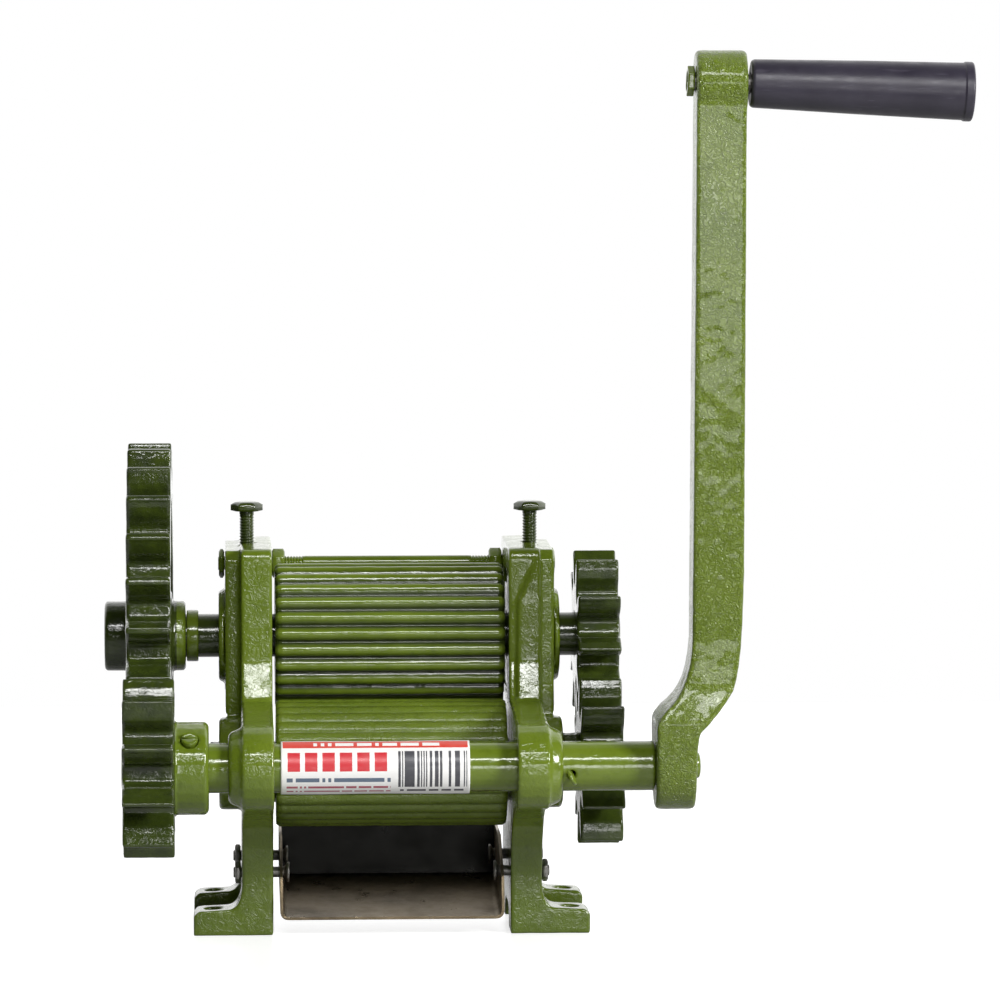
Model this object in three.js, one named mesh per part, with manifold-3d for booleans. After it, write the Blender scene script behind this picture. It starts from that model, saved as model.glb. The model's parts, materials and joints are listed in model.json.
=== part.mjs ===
// Hand-cranked sugar-cane mill: two cast side frames carry two fluted rollers. A crank shaft across the front
// turns a pinion, the pinion turns a large gear on the upper roller's shaft, and a pair of small gears at the
// other end turns the lower roller. Millimetres, +Z up, X along the rollers, the feed side at -Y.
// Shapes are laid out with X = 0 midway between the frames, Y = 0 on the upper roller's axis and Z = 0 on the
// bench. The group at the end moves the whole to the centre of its footprint.
import * as THREE from 'three';
import { mergeVertices } from 'three/addons/utils/BufferGeometryUtils.js';
import Module from 'manifold-3d';

const wasm = await Module();
wasm.setup();

// ---- driving dimensions ----
const GAP = 0.3; // between separate pieces that touch on the real object
const CORE = [0, 123.7]; // Y, Z of the upper roller's axis
const LOWER = [-29.6, 71.5]; // Y, Z of the lower roller's axis
const CRANK = [-97.5, 78.2]; // Y, Z of the crank shaft's axis
const SHAFT_R = 9.4;
const CRANK_SHAFT_R = 10.5;
const NECK_R = 7.5; // the crank shaft's end inside the arm

const ROLLER_HALF = 49.5;
const UPPER_ROLLER_R = 31.4;
const UPPER_FLUTES = 26;
const UPPER_FLUTE_DEPTH = 2.8;
const LOWER_ROLLER_R = 27.5;
const LOWER_FLUTES = 30;
const LOWER_FLUTE_DEPTH = 0.9;

const WEB_IN = 50.8; // side frame, measured outward from X = 0
const WEB_OUT = 64.3;
const HOUSING_OUT = 71;
const BOSS_OUT = 73.9;
const FOOT_OUT = 85;
const FOOT_HEIGHT = 10.4;
const FOOT_LUGS = [[-52, -34], [1, 18]]; // each lug's extent in Y
const FOOT_HOLE_X = 76.5;
const FOOT_HOLE_Y = [-43, 9.5];
const FOOT_HOLE_R = 4;
const FRAME_CUT = [40, 90]; // the reach of a cut through the right frame
const FRAME_TOP = 164.2;
const HOUSING_TOP = 162.5;
const RIB_HEIGHT = 2;
const BEARING_BOSS_R = 20;
const CRANK_NOSE_R = 18.2;
const CRANK_BOSS_R = 17;
const LEDGE = [[-35.4, 116], [-41.5, 100.5]]; // the slope above each frame's forward arm, top and foot
const CRANK_BOSS_OUT = 70;
const SLOT_HALF = 17;
const SLOT_LOW = 100.7;
const SLOT_HIGH = 152;
const BLOCK_HIGH = 146;

const BOLT_R = 3.2; // quarter-inch bolts and rods
const BOLT_X = 61.5;
const BOLT_HEAD_LOW = 178;
const BOLT_HEAD_HIGH = 182.1;
const BOLT_HEAD_R = 6.95;
const NUT_R = 6.4;
const NUT_LENGTH = 5.7;
const THIN_NUT_LENGTH = 2.4;
const UPPER_ROD = [26, 152.7];
const LOWER_ROD = [14, 55];

const DRIVE_MODULE = 6.15;
const DRIVE_TEETH = 25;
const PINION_TEETH = 10;
const DRIVE_X = [-113, -94];
const PINION_X = [-114, -92.3];
const PINION_HUB_X = -78;
const PINION_HUB_R = 19.6;
const PINION_SCREW_X = -86;
const PINION_SCREW_ANGLE = 136;
const DRIVE_SCREW_X = -118;
const DRIVE_SCREW_ANGLE = 40;
const PINION_SCREW_R = 3.5;
const TOOTH_PRESSURE = 20; // degrees
const TOOTH_HALF = 0.66; // half a tooth's thickness on the pitch circle, in modules: cast teeth run loose
const TOOTH_TIP = 1.12; // above and below the pitch circle, in modules
const TOOTH_ROOT = 1.3;
const SHAFT_ENDS = [-121.5, 100.6]; // the upper roller's shaft
const LOWER_SHAFT_START = -78;
const COLLAR_R = 11.2;
const COLLAR_END = -82.6;
const SPLIT_PIN_X = 73.4;
const SPLIT_PIN_R = 1.6;
const SPLIT_PIN_LENGTH = 27.2;
const SPLIT_PIN_EYE_R = 3.1;
const SPLIT_PIN_ANGLE = 193;
const DRIVE_TOOTH_ANGLE = 201.2; // degrees from +Y towards +Z
const ROLLER_MODULE = 6;
const ROLLER_TEETH = 10;
const ROLLER_GEAR_X = [81, 99.5];
const ROLLER_TOOTH_ANGLE = 149;
const LOWER_HUB_R = 12.5;

const ARM_BOSS_X = [108.9, 125.7];
const ARM_BOSS_R = 18.4;
const ARM_DEPTH = 23;
const ARM_TAPER = [20, 35, 54]; // heights above the crank shaft between which the arm narrows
const ARM_TOP_Z = 364.5;
const ARM_TOP_R = 13.45;
const ARM_X = [125.2, 146.2];
const LABEL_X = [-48, 31];
const LABEL_ANGLES = [94, 256];
const LABEL_THICKNESS = 0.3;
const GRIP_START = 148.2;
const GRIP_LENGTH = 93.4;
const SPINDLE_X = 136; // where the spindle's axis is at the top boss's height
const GRIP_DROOP = 2.2; // degrees
const SPINDLE_R = 4;

const TRAY_HALF = 48;
const TRAY_SHEET = 1.2;
const TRAY_FRONT = [-55, 7];
const TRAY_REAR = [20, 15];
const TRAY_TOP = 38.6;
const TRAY_SCREW_R = 2.4;
const TRAY_SCREW_Z = 26;
const TRAY_SCREW_Y = [-42, 8];
const TRAY_NUT_R = 4.9;
const TRAY_NUT_LENGTH = 2.6;

// ---- materials ----
function finish(color, roughness, metalness) {
  return new THREE.MeshStandardMaterial({ color, roughness, metalness });
}
const enamel = finish(0x6b8a28, 0.3, 0.1);
const steel = finish(0x77766f, 0.45, 0.9);
const zinc = finish(0x8a806a, 0.4, 0.85);
const plastic = finish(0x322e3c, 0.4, 0);
const paper = finish(0xf2f0ec, 0.5, 0);

// ---- solids ----
/** A closed geometry as a manifold solid, with its faces turned outward. */
function solid(geometry) {
  const bare = new THREE.BufferGeometry();
  bare.setAttribute('position', geometry.getAttribute('position'));
  bare.setIndex(geometry.getIndex());
  const merged = mergeVertices(bare, 1e-4);
  const at = merged.getAttribute('position');
  const index = merged.getIndex().array;
  const triangles = [];
  let volume = 0;
  const a = new THREE.Vector3();
  const b = new THREE.Vector3();
  const c = new THREE.Vector3();
  for (let i = 0; i < index.length; i += 3) {
    const [p, q, r] = [index[i], index[i + 1], index[i + 2]];
    if (p === q || q === r || r === p) continue;
    triangles.push(p, q, r);
    a.fromBufferAttribute(at, p);
    b.fromBufferAttribute(at, q);
    c.fromBufferAttribute(at, r);
    volume += a.dot(b.cross(c));
  }
  if (volume < 0) triangles.reverse();
  return new wasm.Manifold(new wasm.Mesh({
    numProp: 3,
    vertProperties: Float32Array.from(at.array),
    triVerts: Uint32Array.from(triangles),
  }));
}

/** A three.js geometry from a manifold solid. */
function geometryOf(body) {
  const mesh = body.getMesh();
  const geometry = new THREE.BufferGeometry();
  geometry.setAttribute('position', new THREE.BufferAttribute(mesh.vertProperties, 3));
  geometry.setIndex(new THREE.BufferAttribute(mesh.triVerts, 1));
  const flat = geometry.toNonIndexed();
  flat.computeVertexNormals();
  return flat;
}

const alongX = new THREE.Matrix4().makeBasis(
  new THREE.Vector3(0, 1, 0), new THREE.Vector3(0, 0, 1), new THREE.Vector3(1, 0, 0));
const alongY = new THREE.Matrix4().makeBasis(
  new THREE.Vector3(1, 0, 0), new THREE.Vector3(0, 0, 1), new THREE.Vector3(0, -1, 0));

/** An outline extruded from one height to another, then turned to its place. */
function extruded(shape, low, high, turn) {
  const depth = high - low;
  const geometry = new THREE.ExtrudeGeometry(shape, { depth, bevelEnabled: false, curveSegments: 6 });
  geometry.translate(0, 0, low);
  geometry.applyMatrix4(turn);
  return solid(geometry);
}

/** An outline in (Y, Z) extruded along X from low to high. */
function prismX(shape, low, high) {
  return extruded(shape, low, high, alongX);
}

/** An outline in (X, Z) extruded along Y from low to high. */
function prismY(shape, low, high) {
  return extruded(shape, -high, -low, alongY);
}

/** A profile of [X, radius] points, turned about the line through centre = [Y, Z] along X. */
function turnedX(profile, centre, sides = 24) {
  const points = profile.map(([x, r]) => new THREE.Vector2(r, x));
  const geometry = new THREE.LatheGeometry(points, sides);
  geometry.rotateZ(-Math.PI / 2);
  geometry.translate(0, centre[0], centre[1]);
  return solid(geometry);
}

/** A plain round rod along X. */
function rodX(centre, radius, low, high, sides = 24) {
  return turnedX([[low, 0], [low, radius], [high, radius], [high, 0]], centre, sides);
}

/** A round rod from one point to another. */
function rodBetween(start, end, radius, sides = 12) {
  const from = new THREE.Vector3(...start);
  const to = new THREE.Vector3(...end);
  const span = to.clone().sub(from);
  const geometry = new THREE.CylinderGeometry(radius, radius, span.length(), sides);
  geometry.applyQuaternion(new THREE.Quaternion().setFromUnitVectors(new THREE.Vector3(0, 1, 0),
    span.clone().normalize()));
  geometry.translate(...from.add(to).multiplyScalar(0.5).toArray());
  return solid(geometry);
}

function block(low, high) {
  const size = high.map((value, axis) => value - low[axis]);
  const geometry = new THREE.BoxGeometry(...size);
  geometry.translate(...low.map((value, axis) => value + size[axis] / 2));
  return solid(geometry);
}

function mirroredX(body) {
  return body.mirror([1, 0, 0]);
}

/** A point at an angle, in degrees from +Y towards +Z, and a distance from centre = [Y, Z]. */
function polar(centre, angle, radius) {
  const turn = THREE.MathUtils.degToRad(angle);
  return [centre[0] + radius * Math.cos(turn), centre[1] + radius * Math.sin(turn)];
}

function join(bodies) {
  return bodies.reduce((whole, body) => whole.add(body));
}

// ---- gears and rollers ----
/** A cast spur gear's outline about the origin, one tooth centred on the angle given in degrees. */
function gearShape(teeth, module, angle) {
  const pressure = THREE.MathUtils.degToRad(TOOTH_PRESSURE);
  const pitchR = teeth * module / 2;
  const baseR = pitchR * Math.cos(pressure);
  const tipR = pitchR + TOOTH_TIP * module;
  const rootR = pitchR - TOOTH_ROOT * module;
  const halfTooth = TOOTH_HALF * module / pitchR;
  const spread = (r) => {
    const slope = r > baseR ? Math.acos(baseR / r) : 0;
    return Math.tan(slope) - slope;
  };
  const halfAt = (r) => halfTooth + spread(pitchR) - spread(r);
  const flank = [rootR + 1.2, pitchR - 0.5, (pitchR + tipR) / 2, tipR - 0.9];
  const points = [];
  for (let tooth = 0; tooth < teeth; tooth += 1) {
    const centre = THREE.MathUtils.degToRad(angle) + tooth * 2 * Math.PI / teeth;
    const at = (turn, r) => {
      points.push(new THREE.Vector2(r * Math.cos(centre + turn), r * Math.sin(centre + turn)));
    };
    const rootHalf = halfAt(rootR + 1.2) + 1.4 / rootR;
    at(-rootHalf, rootR);
    flank.forEach((r) => at(-halfAt(r), r));
    const tipHalf = Math.max(halfAt(tipR - 0.9) - 1.1 / tipR, 0.02);
    at(-tipHalf, tipR);
    at(tipHalf, tipR);
    flank.toReversed().forEach((r) => at(halfAt(r), r));
    at(rootHalf, rootR);
  }
  return new THREE.Shape(points);
}

/** The tooth angle of a wheel that meshes with another: both given by centre and number of teeth. */
function meshingAngle(centre, teeth, toothAngle, otherCentre, otherTeeth) {
  const line = THREE.MathUtils.radToDeg(
    Math.atan2(otherCentre[1] - centre[1], otherCentre[0] - centre[0]));
  const gap = line + 180 - (toothAngle - line) * teeth / otherTeeth;
  return gap + 180 / otherTeeth;
}

/** A fluted roller's outline: rounded ridges with narrow valleys between them. */
function fluteShape(radius, flutes, depth) {
  const steps = 5;
  const points = [];
  for (let i = 0; i < flutes * steps; i += 1) {
    const turn = i * 2 * Math.PI / (flutes * steps);
    const across = (i % steps) / steps;
    const r = radius - depth * (1 - Math.sin(Math.PI * across) ** 0.8);
    points.push(new THREE.Vector2(r * Math.cos(turn), r * Math.sin(turn)));
  }
  return new THREE.Shape(points);
}

function roller(centre, radius, flutes, depth) {
  const body = prismX(fluteShape(radius, flutes, depth), -ROLLER_HALF, ROLLER_HALF)
    .translate([0, centre[0], centre[1]]);
  return body.subtract(rodX(centre, SHAFT_R + GAP, -60, 60));
}

/** A roller's shaft, with its ends chamfered. */
function rollerShaft(centre, start, end) {
  const chamfer = 0.8;
  return turnedX([[start, 0], [start, SHAFT_R - chamfer], [start + chamfer, SHAFT_R],
    [end - chamfer, SHAFT_R], [end, SHAFT_R - chamfer], [end, 0]], centre);
}

/** A gear blank with its teeth, moved to its axis. */
function toothed(centre, teeth, module, angle, [low, high]) {
  return prismX(gearShape(teeth, module, angle), low, high).translate([0, centre[0], centre[1]]);
}

/** A hub screw's hole or shank: radial from the axis at an angle, from one radius to another. */
function radialRod(x, centre, angle, from, to, radius, sides = 12) {
  return rodBetween([x, ...polar(centre, angle, from)], [x, ...polar(centre, angle, to)], radius, sides);
}

function driveGear() {
  const [low, high] = DRIVE_X;
  const blank = toothed(CORE, DRIVE_TEETH, DRIVE_MODULE, DRIVE_TOOTH_ANGLE, DRIVE_X);
  const recess = (inner, outer) => {
    const ring = [[inner, 21], [inner, 60], [outer, 62], [outer, 19], [inner, 21]];
    return turnedX(ring, CORE, 30);
  };
  const hub = turnedX([[low - 10.3, 0], [low - 10.3, 14.2], [low - 9.3, 15.2],
    [high + 5, 15.2], [high + 6, 14], [high + 6, 0]], CORE, 28);
  return join([blank.subtract(recess(low + 5.5, low - 1)).subtract(recess(high - 5.5, high + 1)), hub])
    .subtract(rodX(CORE, SHAFT_R + GAP, low - 20, high + 20))
    .subtract(radialRod(DRIVE_SCREW_X, CORE, DRIVE_SCREW_ANGLE, 5, 20, BOLT_R + GAP));
}

function rollerGear(centre, angle) {
  const [low, high] = ROLLER_GEAR_X;
  return toothed(centre, ROLLER_TEETH, ROLLER_MODULE, angle, ROLLER_GEAR_X)
    .subtract(rodX(centre, SHAFT_R + GAP, low - 20, high + 20));
}

/** The lower gear's plain hub, which runs against the frame's boss. */
function lowerHub() {
  const [from, to] = [BOSS_OUT + GAP, ROLLER_GEAR_X[0] + 1];
  return rodX(LOWER, LOWER_HUB_R, from, to).subtract(rodX(LOWER, SHAFT_R + GAP, from - 5, to + 5));
}

function pinion(angle) {
  const [low, high] = PINION_X;
  const hub = turnedX([[high - 1, 0], [high - 1, PINION_HUB_R], [PINION_HUB_X - 1.5, PINION_HUB_R],
    [PINION_HUB_X, PINION_HUB_R - 1.5], [PINION_HUB_X, 0]], CRANK, 28);
  return join([toothed(CRANK, PINION_TEETH, DRIVE_MODULE, angle, PINION_X), hub])
    .subtract(rodX(CRANK, CRANK_SHAFT_R + GAP, low - 5, 0))
    .subtract(radialRod(PINION_SCREW_X, CRANK, PINION_SCREW_ANGLE, 5, 25, PINION_SCREW_R + GAP));
}

// ---- frames ----
/** The web's outline, seen from the right: back edge, top, front edge, forward arm, leg and arch. */
function webShape() {
  const shape = new THREE.Shape();
  shape.moveTo(19, 0);
  shape.lineTo(24, 52);
  shape.lineTo(34, 96);
  shape.lineTo(35, 159);
  shape.quadraticCurveTo(35, FRAME_TOP, 29.5, FRAME_TOP);
  shape.lineTo(-29.5, FRAME_TOP);
  shape.quadraticCurveTo(-35, FRAME_TOP, -35, 159);
  shape.lineTo(...LEDGE[0]);
  shape.lineTo(...LEDGE[1]);
  shape.quadraticCurveTo(-42, 99.6, -46, 99.4);
  shape.lineTo(-90, CRANK[1] + CRANK_NOSE_R);
  shape.absarc(CRANK[0], CRANK[1], CRANK_NOSE_R, Math.PI / 2, 1.56 * Math.PI, false);
  shape.quadraticCurveTo(-62, 55, -55, 38);
  shape.lineTo(-52, 26);
  shape.lineTo(-52, 0);
  shape.lineTo(-34, 0);
  shape.quadraticCurveTo(-32, 9, -24, 9.5);
  shape.lineTo(-9, 9.5);
  shape.quadraticCurveTo(-1, 9, 1, 0);
  shape.closePath();
  return shape;
}

/** A foot's lug with a sloping fillet up to the web, drawn in (X, Z). */
function lugShape() {
  const shape = new THREE.Shape();
  shape.moveTo(WEB_OUT - 1, 0);
  shape.lineTo(FOOT_OUT, 0);
  shape.lineTo(FOOT_OUT, FOOT_HEIGHT - 2);
  shape.lineTo(FOOT_OUT - 2, FOOT_HEIGHT);
  shape.lineTo(WEB_OUT + 5, FOOT_HEIGHT + 0.8);
  shape.quadraticCurveTo(WEB_OUT + 0.5, FOOT_HEIGHT + 2, WEB_OUT, FOOT_HEIGHT + 11);
  shape.lineTo(WEB_OUT - 1, FOOT_HEIGHT + 11);
  shape.closePath();
  return shape;
}

/** The plate round the bearing slot, outside the web, drawn in (Y, Z). */
function housingShape() {
  const shape = new THREE.Shape();
  shape.moveTo(-24, 92);
  shape.lineTo(24, 92);
  shape.lineTo(24, 138);
  shape.lineTo(34, 144);
  shape.lineTo(34, HOUSING_TOP - 4);
  shape.lineTo(30, HOUSING_TOP);
  shape.lineTo(-20, HOUSING_TOP);
  shape.lineTo(-24, HOUSING_TOP - 4);
  shape.closePath();
  return shape;
}

/** A raised panel on the front edge: a point at its top, and most of the web's width from there down. */
function frontRib() {
  const [top, foot] = LEDGE;
  const side = new THREE.Shape();
  side.moveTo(-30, 159);
  side.lineTo(-35.4, 159);
  side.lineTo(-36.8, 150);
  side.lineTo(top[0] - RIB_HEIGHT, top[1]);
  side.lineTo(foot[0] - RIB_HEIGHT, foot[1]);
  side.lineTo(-30, foot[1] - 3);
  side.closePath();
  const front = new THREE.Shape();
  front.moveTo(WEB_OUT - 1, 160);
  front.lineTo(WEB_OUT - 9.6, 142);
  front.lineTo(WEB_OUT - 10.3, 90);
  front.lineTo(WEB_OUT + 5, 90);
  front.lineTo(WEB_OUT + 5, 160);
  front.closePath();
  return prismX(side, WEB_IN + 1, WEB_OUT).intersect(prismY(front, -60, 0));
}

/** A side frame as it is on the right, with the given ribs added to the casting. */
function sideFrame(ribs) {
  const lugs = FOOT_LUGS.map(([low, high]) => prismY(lugShape(), low, high));
  const crankBoss = turnedX([[WEB_IN, 0], [WEB_IN, CRANK_BOSS_R], [WEB_OUT, CRANK_BOSS_R],
    [CRANK_BOSS_OUT - 1, CRANK_BOSS_R - 2], [CRANK_BOSS_OUT, CRANK_BOSS_R - 3.5],
    [CRANK_BOSS_OUT, 0]], CRANK, 32);
  const lowerBoss = turnedX([[WEB_IN + 1, 0], [WEB_IN + 1, BEARING_BOSS_R], [BOSS_OUT - 1, BEARING_BOSS_R],
    [BOSS_OUT, BEARING_BOSS_R - 1], [BOSS_OUT, 0]], LOWER, 32);
  const casting = join([prismX(webShape(), WEB_IN, WEB_OUT), ...lugs, ...ribs,
    prismX(housingShape(), WEB_OUT - 1, HOUSING_OUT), crankBoss, lowerBoss]);
  const holes = [
    block([FRAME_CUT[0], -SLOT_HALF, SLOT_LOW], [FRAME_CUT[1], SLOT_HALF, SLOT_HIGH]),
    rodX(CRANK, CRANK_SHAFT_R + GAP, ...FRAME_CUT),
    rodX(LOWER, SHAFT_R + GAP, ...FRAME_CUT),
    rodX(UPPER_ROD, BOLT_R + GAP, ...FRAME_CUT, 12),
    rodX(LOWER_ROD, BOLT_R + GAP, ...FRAME_CUT, 12),
    rodBetween([BOLT_X, 0, 140], [BOLT_X, 0, 190], BOLT_R + GAP),
    ...TRAY_SCREW_Y.map((y) => rodX([y, TRAY_SCREW_Z], TRAY_SCREW_R + GAP, ...FRAME_CUT, 10)),
    ...FOOT_HOLE_Y.map((y) => rodBetween([FOOT_HOLE_X, y, -5], [FOOT_HOLE_X, y, 40], FOOT_HOLE_R)),
  ];
  return holes.reduce((frame, hole) => frame.subtract(hole), casting);
}

/** The right bearing block: square in its slot, with a round nose outside the frame. */
function bearingBlock() {
  const body = block([WEB_IN + 0.6, -SLOT_HALF + GAP, SLOT_LOW + GAP],
    [HOUSING_OUT + GAP, SLOT_HALF - GAP, BLOCK_HIGH]);
  const nose = turnedX([[HOUSING_OUT + GAP, 0], [HOUSING_OUT + GAP, BEARING_BOSS_R],
    [BOSS_OUT - 1, BEARING_BOSS_R], [BOSS_OUT, BEARING_BOSS_R - 1], [BOSS_OUT, 0]], CORE, 32);
  return body.add(nose).subtract(rodX(CORE, SHAFT_R + GAP, ...FRAME_CUT));
}

// ---- fasteners ----
/** A hexagonal prism along X. */
function hexX(centre, radius, low, high) {
  return rodX(centre, radius, low, high, 6);
}

function nut(centre, low, high, radius = NUT_R, hole = BOLT_R) {
  return hexX(centre, radius, low, high).subtract(rodX(centre, hole + GAP, low - 5, high + 5, 12));
}

function tieRod(centre, half) {
  return turnedX([[-half, 0], [-half, BOLT_R - 0.6], [-half + 0.6, BOLT_R], [half - 0.6, BOLT_R],
    [half, BOLT_R - 0.6], [half, 0]], centre, 12);
}

function adjustingBolt() {
  const shank = rodBetween([0, 0, BLOCK_HIGH + GAP], [0, 0, BOLT_HEAD_LOW + 1], BOLT_R);
  const head = hexX([0, 0], BOLT_HEAD_R, BOLT_HEAD_LOW, BOLT_HEAD_HIGH).rotate([0, -90, 0]);
  return shank.add(head).translate([BOLT_X, 0, 0]);
}

function trayScrew(y) {
  const head = turnedX([[43.9, 0], [43.9, 4.4], [44.9, 4.4], [45.9, 2.5], [45.9, 0]], [y, TRAY_SCREW_Z], 12);
  const end = WEB_OUT + TRAY_NUT_LENGTH + 1;
  return head.add(rodX([y, TRAY_SCREW_Z], TRAY_SCREW_R, 44.5, end, 10));
}

// ---- crank ----
function crankShaft() {
  const neck = ARM_BOSS_X[0] - GAP;
  const profile = [[PINION_X[0] - 0.5, 0], [PINION_X[0] - 0.5, CRANK_SHAFT_R - 0.8],
    [PINION_X[0] + 0.3, CRANK_SHAFT_R], [neck, CRANK_SHAFT_R], [neck, NECK_R], [ARM_BOSS_X[1], NECK_R],
    [ARM_BOSS_X[1] + GAP, 5.6], [ARM_BOSS_X[1] + 2, 5.4], [ARM_BOSS_X[1] + 2.6, 3.5],
    [ARM_BOSS_X[1] + 2.6, 0]];
  const pinHole = radialRod(SPLIT_PIN_X, CRANK, SPLIT_PIN_ANGLE, -20, 20, SPLIT_PIN_R + GAP);
  return turnedX(profile, CRANK, 28).subtract(pinHole);
}

/** The pin through the shaft beside the frame: a round eye in front, the legs behind. */
function splitPin() {
  const half = SPLIT_PIN_LENGTH / 2;
  const legs = radialRod(SPLIT_PIN_X, CRANK, SPLIT_PIN_ANGLE, -half, half, SPLIT_PIN_R, 10);
  const eye = new THREE.SphereGeometry(SPLIT_PIN_EYE_R, 12, 8);
  eye.translate(SPLIT_PIN_X, ...polar(CRANK, SPLIT_PIN_ANGLE, CRANK_SHAFT_R + GAP + SPLIT_PIN_EYE_R));
  return legs.add(solid(eye));
}

/** A paper label pasted round the front of the crank shaft. */
function shaftLabel() {
  const shape = new THREE.Shape();
  const inner = CRANK_SHAFT_R + GAP;
  const [from, to] = LABEL_ANGLES.map(THREE.MathUtils.degToRad);
  shape.absarc(CRANK[0], CRANK[1], inner + LABEL_THICKNESS, from, to, false);
  shape.absarc(CRANK[0], CRANK[1], inner, to, from, true);
  shape.closePath();
  return prismX(shape, ...LABEL_X);
}

/** The arm's outline in (X, Z): straight up, with one offset bend just above the lower boss. */
function armShape() {
  const [low, high] = ARM_BOSS_X;
  const [left, right] = ARM_X;
  const shape = new THREE.Shape();
  shape.moveTo(low, CRANK[1]);
  shape.lineTo(low, 97);
  shape.quadraticCurveTo(low + 1, 101, low + 6, 105);
  shape.quadraticCurveTo(left - 2, 113, left - 1.2, 132);
  shape.lineTo(left, ARM_TOP_Z - 2);
  shape.lineTo(right, ARM_TOP_Z - 2);
  shape.lineTo(right - 0.6, 160);
  shape.quadraticCurveTo(right - 1, 122, right - 5, 111);
  shape.quadraticCurveTo(high + 9, 101, high + 1.5, 94);
  shape.quadraticCurveTo(high, 91, high, CRANK[1]);
  shape.closePath();
  return shape;
}

/** Moves a body laid out along X to the spindle's axis, which droops a little towards its outer end. */
function spindled(body) {
  return body.rotate([0, GRIP_DROOP, 0]).translate([SPINDLE_X, CRANK[0], ARM_TOP_Z]);
}

/** The arm from the side, in (Y, Z): as deep as the lower boss at its root, then narrower. */
function armSide() {
  const half = ARM_DEPTH / 2;
  const [root, waist, end] = ARM_TAPER.map((rise) => CRANK[1] + rise);
  const shape = new THREE.Shape();
  shape.moveTo(CRANK[0] + ARM_BOSS_R, CRANK[1]);
  shape.lineTo(CRANK[0] + ARM_BOSS_R, root);
  shape.lineTo(CRANK[0] + half + 1, waist);
  shape.lineTo(CRANK[0] + half, end);
  shape.lineTo(CRANK[0] + half - 0.6, ARM_TOP_Z);
  shape.lineTo(CRANK[0] - half + 0.6, ARM_TOP_Z);
  shape.lineTo(CRANK[0] - half, end);
  shape.lineTo(CRANK[0] - half - 1, waist);
  shape.lineTo(CRANK[0] - ARM_BOSS_R, root);
  shape.lineTo(CRANK[0] - ARM_BOSS_R, CRANK[1]);
  shape.closePath();
  return shape;
}

function crankArm() {
  const bar = prismY(armShape(), CRANK[0] - ARM_BOSS_R - 1, CRANK[0] + ARM_BOSS_R + 1)
    .intersect(prismX(armSide(), 90, 160));
  const boss = turnedX([[ARM_BOSS_X[0], 0], [ARM_BOSS_X[0], ARM_BOSS_R - 1], [ARM_BOSS_X[0] + 1, ARM_BOSS_R],
    [ARM_BOSS_X[1] - 1, ARM_BOSS_R], [ARM_BOSS_X[1], ARM_BOSS_R - 1], [ARM_BOSS_X[1], 0]], CRANK, 32);
  const topBoss = turnedX([[ARM_X[0], 0], [ARM_X[0], ARM_TOP_R - 1], [ARM_X[0] + 1, ARM_TOP_R],
    [ARM_X[1] - 0.6, ARM_TOP_R], [ARM_X[1] + 0.4, ARM_TOP_R - 1], [ARM_X[1] + 0.4, 0]],
  [CRANK[0], ARM_TOP_Z], 28);
  return join([bar, boss, topBoss])
    .subtract(rodX(CRANK, NECK_R + GAP, 90, 140))
    .subtract(spindled(rodX([0, 0], SPINDLE_R + GAP, -30, 30, 16)));
}

function grip() {
  const start = GRIP_START - SPINDLE_X;
  const end = start + GRIP_LENGTH;
  const skin = turnedX([[start, 0], [start, 9.2], [start + 1.2, 10.1], [start + 45, 11.2], [end - 4, 12],
    [end - 3.2, 12.5], [end - 0.6, 12.5], [end, 11.9], [end, 0]], [0, 0], 28);
  const bore = turnedX([[start - 5, 0], [start - 5, SPINDLE_R + GAP], [end - 9, SPINDLE_R + GAP],
    [end - 9, 7.6], [end + 5, 7.6], [end + 5, 0]], [0, 0], 20);
  return spindled(skin.subtract(bore));
}

function gripSpindle() {
  const end = GRIP_START - SPINDLE_X + GRIP_LENGTH;
  const shank = rodX([0, 0], SPINDLE_R, -13.5, end - 8, 16);
  return spindled(shank.add(hexX([0, 0], 6.6, end - 8.7, end - 4)));
}

// ---- tray ----
/** The tray's side outline in (Y, Z). */
function traySide() {
  const shape = new THREE.Shape();
  shape.moveTo(...TRAY_FRONT);
  shape.lineTo(...TRAY_REAR);
  shape.lineTo(TRAY_REAR[0], TRAY_TOP);
  shape.lineTo(-22, TRAY_TOP);
  shape.lineTo(TRAY_FRONT[0] + 4, 25);
  shape.lineTo(TRAY_FRONT[0], 16);
  shape.closePath();
  return shape;
}

/** A channel's outline in (X, height above the floor) with rounded lower corners. */
function channelShape(half, low, corner) {
  const shape = new THREE.Shape();
  shape.moveTo(-half, 60);
  shape.lineTo(-half, low + corner);
  shape.quadraticCurveTo(-half, low, -half + corner, low);
  shape.lineTo(half - corner, low);
  shape.quadraticCurveTo(half, low, half, low + corner);
  shape.lineTo(half, 60);
  shape.closePath();
  return shape;
}

function tray() {
  const slope = THREE.MathUtils.radToDeg(
    Math.atan2(TRAY_REAR[1] - TRAY_FRONT[1], TRAY_REAR[0] - TRAY_FRONT[0]));
  const tilted = (body) => body.rotate([slope, 0, 0]).translate([0, TRAY_FRONT[0], TRAY_FRONT[1]]);
  const outer = tilted(prismY(channelShape(TRAY_HALF, 0, 4), -10, 90));
  const inner = tilted(prismY(channelShape(TRAY_HALF - TRAY_SHEET, TRAY_SHEET, 3), -20, 90))
    .subtract(block([-60, TRAY_REAR[0] - TRAY_SHEET, 0], [60, 60, 80]));
  const holes = TRAY_SCREW_Y.map((y) => rodX([y, TRAY_SCREW_Z], TRAY_SCREW_R + GAP, -70, 70, 10));
  const sheet = outer.intersect(prismX(traySide(), -60, 60)).subtract(inner);
  return holes.reduce((body, hole) => body.subtract(hole), sheet);
}

// ---- assembly ----
const mill = new THREE.Group();
function place(name, body, material) {
  const piece = new THREE.Mesh(geometryOf(body), material);
  piece.name = name;
  mill.add(piece);
}

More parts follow.
